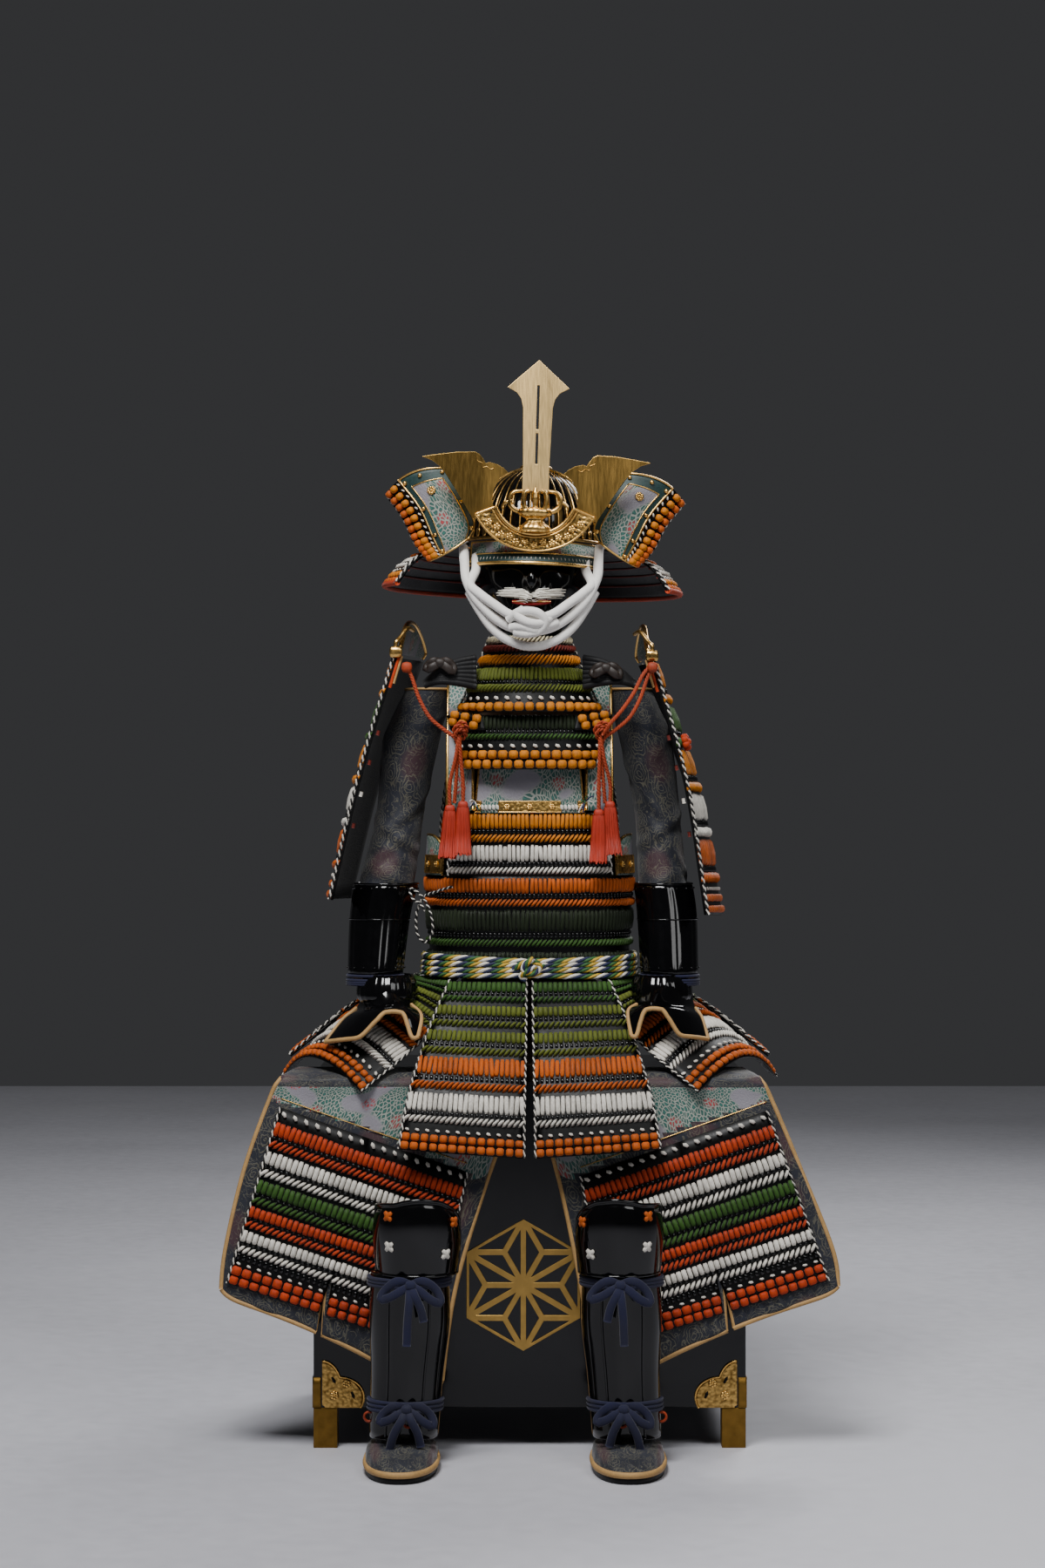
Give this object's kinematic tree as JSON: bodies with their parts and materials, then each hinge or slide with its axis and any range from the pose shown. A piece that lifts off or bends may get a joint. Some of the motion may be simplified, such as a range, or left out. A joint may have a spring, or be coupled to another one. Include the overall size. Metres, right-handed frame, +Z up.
{
  "type": "samurai armour seated on an armour chest",
  "caption": "Full suit of samurai armour with horned helmet, face mask, laced plates, sleeves, thigh and shin guards, seated on its black lacquered armour chest.",
  "frame": {"origin": "on the floor under the middle of the suit and chest", "axes": "+Z up, the suit faces -Y, +X is to the right of a person who looks at its front"},
  "size_m": [0.97, 0.7707, 1.7219],
  "materials": {
    "black_lacquered_wood": "polished black lacquer",
    "black_lacquered_iron": "polished black lacquer on iron",
    "gold_fittings": "gilt, partly brushed",
    "stand_wood": "plain stained wood",
    "silk_lacing": "flat braided silk over lacquered scales",
    "printed_leather": "pale leather with printed leaves",
    "brocade": "woven silk with gold roundels",
    "belt_cord": "round braid of four colours",
    "white_cord": "soft padded cotton cord",
    "orange_cord": "round braid and silk tassels"
  },
  "bodies": {
    "root": {"chest_body": "black_lacquered_wood", "chest_lid": "black_lacquered_wood", "chest_leg_front_left": "gold_fittings", "chest_leg_front_right": "gold_fittings", "chest_leg_back_left": "gold_fittings", "chest_leg_back_right": "gold_fittings", "chest_emblem": "gold_fittings", "stand": "stand_wood", "cuirass_wrap": "silk_lacing", "cuirass_front": "silk_lacing", "cuirass_back": "silk_lacing", "chest_plate": "printed_leather", "side_plate_left": "printed_leather", "side_plate_right": "printed_leather", "shoulder_strap_left": "printed_leather", "shoulder_strap_right": "printed_leather", "belt": "belt_cord", "throat_guard": "silk_lacing", "gorget": "silk_lacing", "helmet_bowl": "black_lacquered_iron", "helmet_visor": "printed_leather", "neck_guard": "silk_lacing", "turnback_left": "printed_leather", "turnback_right": "printed_leather", "crest_sword": "gold_fittings", "horn_left": "gold_fittings", "horn_right": "gold_fittings", "crest_base": "gold_fittings", "crest_hilt": "gold_fittings", "face_mask": "black_lacquered_iron", "front_skirt_left": "silk_lacing", "front_skirt_right": "silk_lacing", "side_skirt_left": "silk_lacing", "side_skirt_right": "silk_lacing", "back_skirt_left": "silk_lacing", "back_skirt_right": "silk_lacing", "back_skirt_middle": "silk_lacing", "sleeve_left": "brocade", "sleeve_right": "brocade", "forearm_plate_left": "black_lacquered_iron", "forearm_plate_right": "black_lacquered_iron", "hand_guard_left": "black_lacquered_iron", "hand_guard_right": "black_lacquered_iron", "shoulder_guard_left": "silk_lacing", "shoulder_guard_right": "silk_lacing", "crown_plate_left": "printed_leather", "crown_plate_right": "printed_leather", "thigh_guard_left": "silk_lacing", "thigh_guard_right": "silk_lacing", "knee_plate_left": "black_lacquered_iron", "knee_plate_right": "black_lacquered_iron", "shin_guard_left": "black_lacquered_iron", "shin_guard_right": "black_lacquered_iron", "shoe_left": "brocade", "shoe_right": "brocade", "chin_cord": "white_cord", "shoulder_cord_left": "orange_cord", "shoulder_cord_right": "orange_cord", "tassels_left": "orange_cord", "tassels_right": "orange_cord"}
  },
  "joints": []
}
